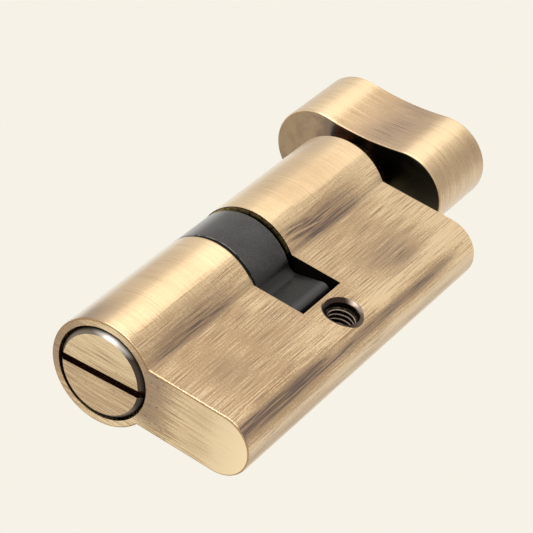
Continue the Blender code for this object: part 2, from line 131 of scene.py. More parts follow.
# Colours, as linear light
BACKGROUND = (0.923, 0.888, 0.799)
# Bright brass: a worn edge on the thumbturn, and a painted reflection at the end faces' foot
BRASS_BRIGHT = (0.99, 0.80, 0.52)
BRASS_LIGHT = (0.88, 0.665, 0.41)
BRASS_MID = (0.505, 0.325, 0.17)
END_BRASS_LIGHT = (0.86, 0.685, 0.425)
END_BRASS_MID = (0.48, 0.315, 0.17)
# Painted sheen colours
SHEEN_PALE = (0.86, 0.82, 0.74)
SHEEN_GREY = (0.72, 0.62, 0.52)
PATINA = (0.137, 0.085, 0.068)
# Painted shade in gaps, slots, the plug's inside and the thread's root
GAP_SHADE = (0.018, 0.014, 0.010)
# Painted light on the lit rim of the cam slot's walls
LIT_RIM_BRASS = (0.62, 0.45, 0.21)
# On the thumbturn's near face: olive bronze as painted light, pink as a painted glint, near-black as painted
# shade
LIT_OLIVE_BRONZE = (0.38, 0.28, 0.18)
GREY_BRONZE = (0.23, 0.165, 0.125)
RED_BRONZE = (0.23, 0.105, 0.080)
GLINT_PINK = (0.50, 0.31, 0.25)
SHADE_BLACK = (0.075, 0.082, 0.080)
# Fixing hole: painted shade on the countersink, and a painted highlight there and on the thread's crest
HOLE_SHADE_BRASS = (0.045, 0.031, 0.026)
HOLE_SHINE = (0.50, 0.40, 0.33)
EDGE_BRASS = (0.22, 0.185, 0.155)
EDGE_SHADE = (0.085, 0.063, 0.050)
# Painted shade on the plug's edge towards the gap
EDGE_GAP_SHADE = (0.020, 0.015, 0.012)
EDGE_SHINE = (0.70, 0.66, 0.62)
SLOT_RUST = (0.50, 0.32, 0.25)
STEEL = (0.52, 0.51, 0.50)
TURNED_BRASS = (0.50, 0.37, 0.20)
BLACK_OXIDE_DARK = (0.006, 0.006, 0.006)
BLACK_OXIDE_LIGHT = (0.082, 0.082, 0.085)
# Painted sheen on the cam's top
SHEEN_OXIDE_PALE = (0.36, 0.36, 0.367)
WORN_STEEL = (0.42, 0.41, 0.34)

# Brush strokes as noise counts per metre, across and along the stroke, and the noise's detail. The depth of
# their relief, and how far they stretch the gloss.
STROKES = {"fine": (8800.0, 190.0, 0.0), "broad": (5200.0, 60.0, 0.0), "cloud": (300.0, 36.0, 1.0)}
STROKE_DEPTH = 0.03 * MM
STROKE_GLOSS = 0.75

# Other noises: counts per metre along X, Y and Z, and the detail
GRAIN = (5600.0, 2800.0, 5600.0, 0.0)
STREAKS = (2600.0, 70.0, 2600.0, 1.0)
SPECKS = (2400.0, 2400.0, 1500.0, 1.0)
PLUG_SPECKS = (2400.0, 2400.0, 1200.0, 1.0)
KNOB_PATCHES = (160.0, 160.0, 120.0, 2.0)
KNOB_MOTTLE = (700.0, 700.0, 700.0, 3.0)
CAM_GRAIN = (5200.0, 5200.0, 5200.0, 2.0)
CAM_CLOUD = (300.0, 300.0, 300.0, 2.0)
CAM_RUBBING = (900.0, 900.0, 900.0, 2.0)
CUT_MARKS = (1500.0, 1500.0, 1500.0, 1.0)
TURNED_MARKS = (1500.0, 6000.0, 1500.0, 2.0)

# How much each noise adds to the wear and to the patina of brushed brass, and its darkest scratches
WEAR_MARKS = {"fine": 2.3, "broad": 0.6, "grain": 1.1, "cloud": 0.8}
STAIN_MARKS = {"broad": 1.6, "fine": 2.8}
STAIN_CONTRAST = 0.1
SCRATCHES = dict(strength=0.45, fine=("ramp", 0.42, 0.26), broad=("ramp", 0.60, 0.40))

# Roughness of each finish and what stains and marks add to it, and the plain metals' marks
GLOSS_ROUGHNESS = 0.34
STAIN_ROUGHNESS = 0.10
SMOOTH_ROUGHNESS = 0.20
MATTE_ROUGHNESS = 0.75
LACQUER_ROUGHNESS = 0.25
CAM_ROUGHNESS = 0.24
CLOUD_ROUGHNESS = 0.12
THREAD_ROUGHNESS = 0.20
TURNED_BRASS_ROUGHNESS = 0.26
STEEL_ROUGHNESS = 0.30
MARK_ROUGHNESS = 0.10
MARK_SHADE = 0.72
MARK_DEPTH = 0.004 * MM
CAM_SPECULAR = 0.32

# From here to the Graph class, each dict is a patch of the surface: its strength, the area that it is on,
# and its limits on the Graph's fields. A hump has its middle and its reach, a ramp its empty and its full
# end, a band the four ends of its two slopes.

# Housing's areas, as ramps: strokes round the barrel with a frayed end, the foot's rounding, the end faces,
# and the half with the coin slot
BARREL_BRUSHING = (-4.9 * MM, -1.9 * MM)
BARREL_FRAY = 4.0 * MM
FOOT_START = (LEG_BOTTOM_CENTRE + 0.5 * MM, LEG_BOTTOM_CENTRE)
END_FACING = (0.6, 0.9)
COIN_HALF = (4.0 * MM, -4.0 * MM)

# Barrel's lower flank: browned along its middle, dark in the corner with the leg
FLANK_EVEN = 0.45
FLANK_STREAKS = dict(strength=0.65, streaks=("ramp", 0.26, 0.60))
FLANK = dict(rise=("band", -CORNER_DROP - 1.0 * MM, -CORNER_DROP, -5.5 * MM, -3.1 * MM))
FLANK_STRETCHES = (
    dict(strength=0.55, y=("hump", -20.0 * MM, 17.0 * MM)),
    dict(strength=0.66, y=("hump", 16.5 * MM, 14.5 * MM)),
)
CORNER = dict(rise=("hump", -CORNER_DROP + 0.35 * MM, 1.1 * MM))
CORNER_EVEN = 0.22
CORNER_STRETCHES = (
    dict(strength=0.62, y=("hump", -19.0 * MM, 13.0 * MM)),
    dict(strength=0.82, y=("hump", 15.5 * MM, 13.0 * MM)),
)

# Scratches that slant down from the cam slot: their fall, and noise counts per metre across and along
SLANT = 0.11
SLANTED_COUNTS = (2600.0, 75.0)
SLANTED_SCRATCHES = dict(
    strength=1.5, slanted=("hump", -4.35 * MM, 1.6 * MM), y=("hump", 10.5 * MM, 8.5 * MM),
    scratches=("ramp", 0.34, 0.50))

# Painted shade: dark bands where the foot turns under, broad at the coin end and thin at the thumbturn end
FOOT_EVEN = 0.60
FOOT_STREAKS = dict(strength=0.40, streaks=("ramp", 0.20, 0.56))
FOOT_SHADE_BANDS = (
    dict(strength=0.95, on="foot", normal_z=("hump", -0.62, 0.30), y=("ramp", -5.0 * MM, -14.0 * MM)),
    dict(strength=0.95, on="foot", normal_z=("hump", -0.69, 0.15), y=("hump", -16.0 * MM, 3.5 * MM)),
    dict(strength=0.72, on="foot", normal_z=("hump", -0.71, 0.17), y=("ramp", 28.0 * MM, 22.0 * MM)),
    dict(strength=0.95, on="foot", normal_z=("hump", -0.73, 0.14), y=("hump", 15.5 * MM, 11.5 * MM)),
)

# Wide clouds of patina: two on the leg, two at the barrel's coin end, one at its turn end, and painted shade
# under the leg
CLOUDS = (
    dict(strength=0.62, y=("hump", 16.5 * MM, 8.0 * MM), z=("hump", 1.8 * MM, 5.0 * MM),
         streaks=("ramp", 0.25, 0.65)),
    dict(strength=0.14, y=("hump", -23.0 * MM, 7.0 * MM), z=("hump", 4.0 * MM, 5.0 * MM)),
    dict(strength=0.60, on="barrel", normal_z=("hump", 0.55, 0.35), y=("ramp", -23.0 * MM, -30.0 * MM)),
    dict(strength=0.26, on="barrel", normal_z=("hump", 0.25, 0.35), y=("ramp", -20.0 * MM, -29.0 * MM)),
    dict(strength=0.22, on="barrel", normal_z=("hump", 0.45, 0.40), y=("ramp", 22.0 * MM, 28.0 * MM)),
    # Painted shade under the leg
    dict(strength=0.12, on="foot", normal_z=("ramp", -0.96, -1.0)),
)

# Lighter places: painted highlights on the barrel's side and its upper turn half, lighter beside the cam
# slot and towards the thumbturn (less on the barrel), painted highlights round the foot. Browner where the
# strength is negative.
OUTER_LIGHT = 0.24
OUTER_LIGHTENING_AND_HIGHLIGHTS = (
    # Painted highlights on the barrel's side and its upper turn half
    dict(strength=0.40, normal_z=("band", -0.60, -0.30, 0.15, 0.55), rise=("ramp", -5.2 * MM, -4.0 * MM)),
    dict(strength=0.30, normal_z=("ramp", 0.3, 0.8), y=("ramp", -5.0 * MM, 5.0 * MM)),
    dict(strength=0.22, reach=("hump", 7.5 * MM, 5.0 * MM)),
    dict(strength=0.60, y=("ramp", 20.0 * MM, 29.0 * MM)),
    dict(strength=-0.36, on="barrel", y=("ramp", 20.0 * MM, 29.0 * MM)),
    dict(strength=-0.30, on="barrel", normal_z=("hump", -0.05, 0.40), y=("ramp", 2.0 * MM, 8.0 * MM)),
    dict(strength=-0.28, y=("hump", -20.0 * MM, 13.0 * MM), z=("ramp", 9.5 * MM, 6.0 * MM)),
    # Painted highlights round the foot
    dict(strength=0.375, on="foot", normal_z=("hump", -0.26, 0.36)),
    dict(strength=0.5625, on="foot", normal_z=("hump", -0.26, 0.36), y=("ramp", -8.0 * MM, 8.0 * MM)),
    dict(strength=0.75, on="foot", sideways=("hump", 0.25, 0.23), normal_z=("ramp", -0.80, -0.90)),
)

# End faces: dark under the plug, over it and in specks, lighter beside it, and lighter towards the leg's
# bottom as a painted reflection
END_STAINS = (
    dict(strength=0.42, rise=("hump", -8.0 * MM, 5.0 * MM), x=("ramp", -5.5 * MM, -2.0 * MM)),
    dict(strength=0.40, rise=("ramp", 2.5 * MM, 7.0 * MM), x=("ramp", -6.0 * MM, -1.0 * MM)),
    dict(strength=0.35, rise=("hump", -9.0 * MM, 6.0 * MM), specks=("ramp", 0.40, 0.26)),
)
END_LIGHT = 0.06
END_LIGHTENING = (
    dict(strength=1.05, x=("ramp", -2.5 * MM, -5.0 * MM), rise=("hump", -3.0 * MM, 9.0 * MM)),
    dict(strength=1.05, x=("ramp", 4.5 * MM, 6.5 * MM), rise=("hump", -0.5 * MM, 4.0 * MM)),
    # Painted reflection, lighter towards the leg's bottom
    dict(strength=0.55, rise=("ramp", -8.5 * MM, -14.0 * MM)),
    dict(strength=0.60, rise=("ramp", -16.0 * MM, -21.5 * MM)),
)

# How strongly the strokes show: on the flanks, more on the coin half, less round the barrel and on the ends
SIDE_CONTRAST = 0.97
BARREL_EVENNESS = 0.78
COIN_CONTRAST = 0.18
END_CONTRAST = 0.40
END_TOP_CONTRAST = dict(strength=0.80, rise=("ramp", -17.0 * MM, -9.0 * MM))

# Painted light tints: a pale painted sheen on the barrel's top, a grey painted sheen under the foot, a
# bright painted reflection at the end faces' foot
PAINTED_SHEEN_TOP = (
    dict(strength=0.60, on="barrel", normal_z=("hump", 0.82, 0.30)),
    dict(strength=0.30, on="barrel", normal_z=("hump", 0.82, 0.30), y=("ramp", *COIN_HALF)),
)
PAINTED_SHEEN_FOOT = (dict(strength=0.35, on="foot", normal_z=("ramp", -0.86, -0.95)),)
PAINTED_REFLECTION_END = (dict(on="end", rise=("ramp", -18.0 * MM, -25.0 * MM)),)
HOUSING_PAINTED_TINTS = ((PAINTED_SHEEN_TOP, SHEEN_PALE), (PAINTED_SHEEN_FOOT, SHEEN_GREY), (PAINTED_REFLECTION_END, BRASS_BRIGHT))

# Broken edge round the end faces, matte and brown
END_EDGE = dict(
    reach=("band", BARREL_END - 0.11 * MM, BARREL_END - 0.07 * MM, BARREL_END - 0.02 * MM,
           BARREL_END - 0.002 * MM))
END_EDGE_TINT = 0.8

# Cam slot, unbrushed: painted shade on its walls and floor, a painted lit rim on the walls, and a painted
# dark line at the edge with the coin half
SLOT_WALL = dict(on="end", reach=("ramp", SLOT_HALF + 0.6 * MM, SLOT_HALF + 0.2 * MM))
SLOT_LIT_RIM = dict(
    from_axis=("band", BARREL_RADIUS - 1.0 * MM, BARREL_RADIUS - 0.5 * MM, BARREL_RADIUS - 0.2 * MM,
               BARREL_RADIUS - 0.1 * MM),
    rise=("ramp", -6.6 * MM, -5.6 * MM), specks=("ramp", 0.24, 0.50))
SLOT_FLOOR = dict(
    reach=("ramp", SLOT_HALF - 0.01 * MM, SLOT_HALF - 0.05 * MM), normal_z=("ramp", 0.5, 0.9),
    z=("ramp", 3.0 * MM, 3.4 * MM))
SLOT_EDGE_SHADE = dict(
    y=("band", -SLOT_HALF - 0.34 * MM, -SLOT_HALF - 0.18 * MM, -SLOT_HALF, -SLOT_HALF + 0.02 * MM),
    rise=("ramp", -7.5 * MM, -5.5 * MM))

# Fixing hole: painted shade on its countersink and on its rim's shaded side, painted highlights on
# the side to the light and on the side below. Directions are in Y and Z.
HOLE_LIT_SIDE = (0.94, -0.34)
HOLE_NEAR_SIDE = (0.35, -0.94)
COUNTERSINK = dict(
    from_hole=("ramp", COUNTERSINK_RADIUS + 0.09 * MM, COUNTERSINK_RADIUS + 0.03 * MM),
    width=("ramp", LEG_HALF - 0.004 * MM, LEG_HALF - 0.04 * MM))
HOLE_RIM = dict(
    from_hole=("ramp", COUNTERSINK_RADIUS + 0.30 * MM, COUNTERSINK_RADIUS + 0.12 * MM),
    hole_lit=("ramp", -1.2 * MM, -2.4 * MM))
HOLE_LIT_HIGHLIGHT = dict(hole_lit=("ramp", 1.8 * MM, 2.9 * MM))
HOLE_NEAR_HIGHLIGHT = dict(strength=0.20, hole_near=("ramp", 1.4 * MM, 2.8 * MM))
HOLE_HIGHLIGHT_EVEN = 0.4
HOLE_SMOOTHNESS = 0.3

# Where the housing's lacquer is thin, and its relief on even places
UNDERSIDE = dict(strength=0.8, on="foot", normal_z=("ramp", -0.80, -0.99))
EVEN_RELIEF = 0.25

# Release plug: painted light to one side, dirt in the middle, a rounded edge, the coin slot's walls, and
# painted shade inside. Directions are in X and rise.
PLUG_CONTRAST = 0.8
PLUG_LIGHT = 0.24
PLUG_STAIN = 0.04
PLUG_LIT_SIDE = (1.0, 0.3)
EDGE_LIT_SIDE = (0.98, -0.12)
EDGE_SHADE_SIDE = (0.5, -0.87)
PLUG_PAINTED_LIGHT = dict(strength=0.5, plug_lit=("ramp", -2.0 * MM, 6.0 * MM))
PLUG_DIRT = dict(strength=0.5, x=("hump", -0.5 * MM, 4.0 * MM), specks=("ramp", 0.36, 0.24))
PLUG_FACE = dict(facing=("ramp", 0.90, 0.985))
# Painted highlight on the plug's edge, on the side to the light
EDGE_HIGHLIGHT = dict(edge_lit=("ramp", 5.5 * MM, 6.4 * MM))
EDGE_IN_SHADE = dict(edge_shade=("ramp", 3.0 * MM, 5.0 * MM))
EDGE_OUT_OF_GAP = dict(from_axis=("ramp", PLUG_RADIUS - 0.1 * MM, PLUG_RADIUS - 0.6 * MM))
COIN_SLOT_WALL = dict(
    facing=("ramp", 0.6, 0.2), from_axis=("ramp", PLUG_RADIUS - 0.3 * MM, PLUG_RADIUS - 0.5 * MM))
PLUG_INSIDE_SHADE = dict(y=("ramp", PLUG_LOW.y + 0.9 * MM, PLUG_LOW.y + 1.3 * MM))
EDGE_SMOOTHNESS = 0.15

# Thumbturn: stained at its waist and in painted shade under its lower lobe, lighter on both lobes as
# wear and painted highlights
KNOB_AROUND = (0.9, 0.6)
KNOB_CONTRAST = 0.45
KNOB_LIGHT = 0.26
KNOB_STAINS_AND_SHADE = (
    dict(strength=0.56, on="around", rise=("hump", -1.5 * MM, 8.0 * MM)),
    # Painted shade under the lower lobe
    dict(strength=0.22, on="around", normal_z=("hump", -0.70, 0.35), rise=("ramp", -7.0 * MM, -9.0 * MM)),
)
KNOB_STAIN_EVEN = 0.75
KNOB_STAIN_PATCHES = dict(strength=0.35, patches=("ramp", 0.30, 0.62))
KNOB_WEAR_AND_HIGHLIGHTS = (
    # Painted highlights where the lobes face sideways and down
    dict(strength=0.9, on="around", normal_z=("hump", 0.0, 0.75), height=("ramp", 5.0 * MM, 7.6 * MM)),
    dict(strength=0.45, on="around", normal_z=("ramp", -0.85, -1.0), height=("ramp", 5.0 * MM, 7.6 * MM)),
)
KNOB_RELIEF = 0.4

# Thumbturn's face towards the housing, in painted light and shade: lighter olive bronze on the upper lobe,
# red-brown at the waist, near-black painted shade below, and a painted glint
NEAR_FACE_START = (KNOB_START + 1.0 * MM, KNOB_START + 0.4 * MM)
NEAR_FACE = dict(normal_y=("ramp", -0.75, -0.95), y=("ramp", *NEAR_FACE_START))
NEAR_EDGE = dict(strength=0.15, normal_y=("hump", -0.55, 0.35), y=("ramp", *NEAR_FACE_START))
LIT_FRAY = 3.0 * MM
LIT_START = (6.8 * MM, 9.8 * MM)
SHADE_FRAY = 1.2 * MM
SHADE_START = (6.3 * MM, 5.6 * MM)
REDDISH = dict(mottle=("ramp", 0.40, 0.56), rise=("hump", 2.5 * MM, 6.0 * MM))
GLINT = dict(strength=0.8, rise=("hump", -0.7 * MM, 1.1 * MM), x=("ramp", 3.6 * MM, 4.6 * MM))
MOTTLED = dict(strength=0.5, mottle=("ramp", 0.66, 0.30))

# Cam: lighter on its ring, painted shade in the valley over the lobe, a painted sheen on top, a painted
# highlight at the lobe's tip, worn along its edges
CAM_SHADES = (
    dict(strength=0.55, rise=("ramp", -9.0 * MM, -3.0 * MM)),
    # Painted shade in the valley over the lobe
    dict(strength=-0.35, rise=("hump", -7.6 * MM, 1.6 * MM)),
)
CAM_MARKS = {"grain": 1.0, "cloud": 0.5}
CAM_TOP_SHEEN = dict(strength=0.9, rise=("ramp", 3.4 * MM, 7.2 * MM))
CAM_TIP_HIGHLIGHT = dict(strength=0.55, z=("hump", CAM_LOW.z + 1.5 * MM, 1.1 * MM))
CAM_WORN_EDGE = dict(
    strength=0.7, from_edge=("ramp", 0.16 * MM, 0.08 * MM), rise=("ramp", -9.0 * MM, -6.0 * MM),
    facing=("ramp", 0.97, 0.8), rubbing=("ramp", 0.42, 0.62))

# Thread: a painted highlight on its crest
CREST_HIGHLIGHT = dict(strength=0.85, from_hole=("ramp", THREAD_CREST + 0.16 * MM, THREAD_CREST + 0.03 * MM))
CREST_MARKS = {"marks": 0.5}


class Graph:
    """
    A material's node tree, with one short call for each kind of node. Its fields are what patches are
    limited by: places and normals on the surface, and what each material adds. Rise is over the barrel's
    axis, and reach is from the cam slot's middle along Y.
    """

    def __init__(self, name):
        self.material = bpy.data.materials.new(name)
        self.material.use_nodes = True
        self.nodes = self.material.node_tree.nodes
        self.links = self.material.node_tree.links
        self.shader = self.nodes["Principled BSDF"]
        place = self.nodes.new("ShaderNodeTexCoord")
        self.point = place.outputs["Object"]
        self.normal = place.outputs["Normal"]
        x, y, z = self.split(self.point)
        normal_x, normal_y, normal_z = self.split(self.normal)
        rise = self.math("SUBTRACT", z, AXIS_HEIGHT)
        self.fields = {
            "x": x, "y": y, "z": z, "rise": rise, "width": self.size(x), "reach": self.size(y),
            "height": self.size(rise), "from_axis": self.length(x, rise), "from_hole": self.length(y, z),
            "sideways": self.size(normal_x), "facing": self.size(normal_y), "normal_y": normal_y,
            "normal_z": normal_z,
        }

    def feed(self, socket, value):
        if isinstance(value, bpy.types.NodeSocket):
            self.links.new(value, socket)
        elif isinstance(value, tuple) and len(value) == 3 and socket.type == "RGBA":
            socket.default_value = (*value, 1.0)
        else:
            socket.default_value = value

    def set(self, name, value):
        self.feed(self.shader.inputs[name], value)

    def math(self, operation, first, second=0.0, clamp=False):
        node = self.nodes.new("ShaderNodeMath")
        node.operation = operation
        node.use_clamp = clamp
        self.feed(node.inputs[0], first)
        self.feed(node.inputs[1], second)
        return node.outputs[0]

    def add(self, *terms):
        total = terms[0]
        for term in terms[1:]:
            total = self.math("ADD", total, term)
        return total

    def times(self, *factors):
        product = factors[0]
        for factor in factors[1:]:
            product = self.math("MULTIPLY", product, factor)
        return product

    def most(self, *values):
        top = values[0]
        for value in values[1:]:
            top = self.math("MAXIMUM", top, value)
        return top

    def size(self, value):
        return self.math("ABSOLUTE", value)

    def without(self, mask):
        return self.math("SUBTRACT", 1.0, mask)

    def swing(self, value, amount):
        """Noise centred on zero and scaled."""
        return self.times(self.add(value, -0.5), amount)

    def swings(self, amounts):
        """The sum of the named noises, each centred on zero and scaled by its amount."""
        return self.add(*(self.swing(self.fields[name], amount) for name, amount in amounts.items()))

    def clamped(self, value):
        return self.math("ADD", value, 0.0, True)

    def length(self, first, second):
        return self.math("SQRT", self.add(self.times(first, first), self.times(second, second)))

    def toward(self, first, second, direction):
        """How far the point with these two coordinates lies in a direction."""
        return self.add(self.times(first, direction[0]), self.times(second, direction[1]))

    def split(self, vector):
        node = self.nodes.new("ShaderNodeSeparateXYZ")
        self.feed(node.inputs[0], vector)
        return node.outputs[0], node.outputs[1], node.outputs[2]

    def joined(self, x, y, z):
        node = self.nodes.new("ShaderNodeCombineXYZ")
        for socket, value in zip(node.inputs, (x, y, z)):
            self.feed(socket, value)
        return node.outputs[0]

    def vector_math(self, operation, first, second):
        node = self.nodes.new("ShaderNodeVectorMath")
        node.operation = operation
        self.feed(node.inputs[0], first)
        self.feed(node.inputs[1], second)
        return node.outputs[0]

    def ramp(self, value, low, high):
        """Smooth step from 0 at low to 1 at high."""
        node = self.nodes.new("ShaderNodeMapRange")
        node.interpolation_type = "SMOOTHSTEP"
        self.feed(node.inputs["Value"], value)
        node.inputs["From Min"].default_value = min(low, high)
        node.inputs["From Max"].default_value = max(low, high)
        if low > high:
            node.inputs["To Min"].default_value = 1.0
            node.inputs["To Max"].default_value = 0.0
        return node.outputs["Result"]

    def hump(self, value, centre, reach):
        """1 at the centre, falling smoothly to 0 at a distance of reach."""
        return self.ramp(self.size(self.math("SUBTRACT", value, centre)), reach, 0.0)

    def band(self, value, start, full_start, full_end, end):
        """1 between the full ends, falling smoothly to 0 at the start and the end."""
        return self.times(self.ramp(value, start, full_start), self.ramp(value, end, full_end))

    def patch(self, strength=1.0, on=None, **limits):
        """A mask of this strength on an area, inside its limits on fields of the surface."""
        kinds = {"hump": self.hump, "ramp": self.ramp, "band": self.band}
        masks = [kinds[kind](self.fields[name], *ends) for name, (kind, *ends) in limits.items()]
        if on:
            masks.append(self.fields[on])
        return self.times(*masks, strength)

    def patches(self, rows):
        return self.add(*(self.patch(**row) for row in rows))

    def noise(self, vector, detail):
        node = self.nodes.new("ShaderNodeTexNoise")
        node.inputs["Scale"].default_value = 1.0
        node.inputs["Detail"].default_value = detail
        self.feed(node.inputs["Vector"], vector)
        return node.outputs["Fac"]

    def grain(self, x, y, z, detail):
        """Noise over the object, with this many cells a metre along each axis."""
        return self.noise(self.vector_math("MULTIPLY", self.point, (x, y, z)), detail)

    def blend(self, factor, first, second):
        return self.mixed("FLOAT", 2, 0, factor, first, second)

    def blend_vectors(self, factor, first, second):
        return self.mixed("VECTOR", 4, 1, factor, first, second)

    def tint(self, factor, first, second):
        return self.mixed("RGBA", 6, 2, factor, first, second)

    def mixed(self, kind, socket, output, factor, first, second):
        node = self.nodes.new("ShaderNodeMix")
        node.data_type = kind
        self.feed(node.inputs[0], factor)
        self.feed(node.inputs[socket], first)
        self.feed(node.inputs[socket + 1], second)
        return node.outputs[output]

    def bump(self, height, distance):
        node = self.nodes.new("ShaderNodeBump")
        node.inputs["Distance"].default_value = distance
        self.feed(node.inputs["Height"], height)
        self.set("Normal", node.outputs["Normal"])

    def stretch_gloss(self, direction):
        """Spreads the gloss along a direction of the object, across its brush strokes."""
        turn = self.nodes.new("ShaderNodeVectorTransform")
        turn.vector_type = "VECTOR"
        turn.convert_from = "OBJECT"
        turn.convert_to = "WORLD"
        self.feed(turn.inputs[0], direction)
        self.set("Anisotropic", STROKE_GLOSS)
        self.set("Tangent", turn.outputs[0])


def brush(graph, around, upright):
    """Adds fine, broad and cloudy strokes to the fields: along Y, round it by around, along Z by upright."""
    for name, (across, along, detail) in STROKES.items():
        lengthwise = graph.grain(across, along, across, detail)
        # Strokes round the barrel are thin along Y and long in X and Z
        crosswise = graph.grain(along, across, along, detail)
        vertical = graph.grain(across, across, along, detail)
        graph.fields[name] = graph.blend(upright, graph.blend(around, lengthwise, crosswise), vertical)


def brass_finish(graph, light, dark, contrast, warm):
    """
    Antiqued brass: light marks where the brushing cut through and painted highlights, dark marks patina
    where the brushing didn't reach and painted shade; cooler where warm is 0. Returns the colour and how
    dark it is.
    """
    graph.fields["grain"] = graph.grain(*GRAIN)
    lightened = graph.clamped(graph.add(light, graph.times(graph.swings(WEAR_MARKS), contrast)))
    middle = graph.tint(warm, END_BRASS_MID, BRASS_MID)
    color = graph.tint(lightened, middle, graph.tint(warm, END_BRASS_LIGHT, BRASS_LIGHT))
    scratches = graph.times(graph.patch(**SCRATCHES), contrast)
    marked = graph.times(graph.swings(STAIN_MARKS), graph.add(contrast, STAIN_CONTRAST))
    uneven = graph.add(1.0, marked)
    darkening = graph.clamped(graph.add(graph.times(dark, uneven), scratches))
    return graph.tint(darkening, color, PATINA), darkening


def finish_brass(graph, color, darkening, smooth, across, cover, relief, matte=0.0):
    """
    Sets the shader: brushed metal of the colour, smoother where smooth is 1 and dull where matte is 1. Its
    gloss is spread across the strokes, with their relief, and a thin lacquer where cover is 1.
    """
    graph.set("Base Color", color)
    brushed_roughness = graph.add(GLOSS_ROUGHNESS, graph.times(darkening, STAIN_ROUGHNESS))
    roughness = graph.blend(smooth, brushed_roughness, SMOOTH_ROUGHNESS)
    graph.set("Roughness", graph.blend(matte, roughness, MATTE_ROUGHNESS))
    graph.set("Metallic", 1.0)
    graph.stretch_gloss(across)
    graph.set("Coat Weight", cover)
    graph.set("Coat Roughness", LACQUER_ROUGHNESS)
    graph.bump(relief, STROKE_DEPTH)


def housing_areas(graph):
    """Adds the housing's noises and areas to the fields."""
    fields = graph.fields
    streaks = graph.grain(*STREAKS)
    frayed_rise = graph.add(fields["rise"], graph.swing(streaks, BARREL_FRAY))
    fields.update(
        streaks=streaks, specks=graph.grain(*SPECKS), barrel=graph.ramp(frayed_rise, *BARREL_BRUSHING),
        foot=graph.ramp(fields["z"], *FOOT_START), end=graph.ramp(fields["facing"], *END_FACING))


def flank_darkening(graph):
    """Darker along the barrel's lower flank and in the corner with the leg, with scratches."""
    fields = graph.fields
    patchy = graph.add(FLANK_EVEN, graph.patch(**FLANK_STREAKS))
    browned = graph.times(graph.patch(**FLANK), graph.patches(FLANK_STRETCHES), patchy)
    along_corner = graph.add(CORNER_EVEN, graph.patches(CORNER_STRETCHES))
    corner = graph.times(graph.patch(**CORNER), patchy, along_corner)
    slanted = graph.add(fields["rise"], graph.times(fields["y"], SLANT))
    across, along = SLANTED_COUNTS
    cells = graph.joined(graph.times(slanted, across), graph.times(fields["y"], along), 0.0)
    fields.update(slanted=slanted, scratches=graph.noise(cells, 1.0))
    return graph.most(browned, corner, graph.patch(**SLANTED_SCRATCHES))


def foot_painted_shade(graph):
    """Painted shade: dark bands where the leg's bottom turns under."""
    patchy = graph.add(FOOT_EVEN, graph.patch(**FOOT_STREAKS))
    return graph.times(graph.most(*(graph.patch(**row) for row in FOOT_SHADE_BANDS)), patchy)


def housing_contrast(graph):
    """How strongly the brush strokes show on the housing."""
    barrel = graph.fields["barrel"]
    even = graph.without(graph.times(barrel, BARREL_EVENNESS))
    coin_half = graph.ramp(graph.fields["y"], *COIN_HALF)
    side_contrast = graph.add(graph.times(even, SIDE_CONTRAST),
                              graph.times(coin_half, graph.without(barrel), COIN_CONTRAST))
    end_contrast = graph.add(END_CONTRAST, graph.patch(**END_TOP_CONTRAST))
    return graph.blend(graph.fields["end"], side_contrast, end_contrast)


def cam_slot(graph, color):
    """Returns the mask of the cam slot's unbrushed places, and the colour with painted shade and a lit rim.
    """
    wall = graph.patch(**SLOT_WALL)
    slot = graph.most(wall, graph.patch(**SLOT_FLOOR), graph.patch(**SLOT_EDGE_SHADE))
    slot_shade = graph.tint(graph.times(graph.patch(**SLOT_LIT_RIM), wall), GAP_SHADE, LIT_RIM_BRASS)
    return slot, graph.tint(slot, color, slot_shade)


def fixing_hole(graph, color):
    """Returns the fixing hole's countersink and rim mask, and the colour with painted shade and highlights.
    """
    fields = graph.fields
    fields.update(hole_lit=graph.toward(fields["y"], fields["z"], HOLE_LIT_SIDE),
                  hole_near=graph.toward(fields["y"], fields["z"], HOLE_NEAR_SIDE))
    hole = graph.most(graph.patch(**COUNTERSINK), graph.patch(**HOLE_RIM))
    lit_highlight = graph.times(graph.patch(**HOLE_LIT_HIGHLIGHT), graph.add(fields["specks"], HOLE_HIGHLIGHT_EVEN))
    hole_highlight = graph.clamped(graph.most(lit_highlight, graph.patch(**HOLE_NEAR_HIGHLIGHT)))
    return hole, graph.tint(hole, color, graph.tint(hole_highlight, HOLE_SHADE_BRASS, HOLE_SHINE))


def across_housing(graph):
    """The direction across the strokes: round the leg, along Y on the barrel, along X on the end faces."""
    round_leg = graph.vector_math("CROSS_PRODUCT", graph.normal, ALONG_Y)
    sides = graph.blend_vectors(graph.fields["barrel"], round_leg, ALONG_Y)
    return graph.blend_vectors(graph.fields["end"], sides, ALONG_X)


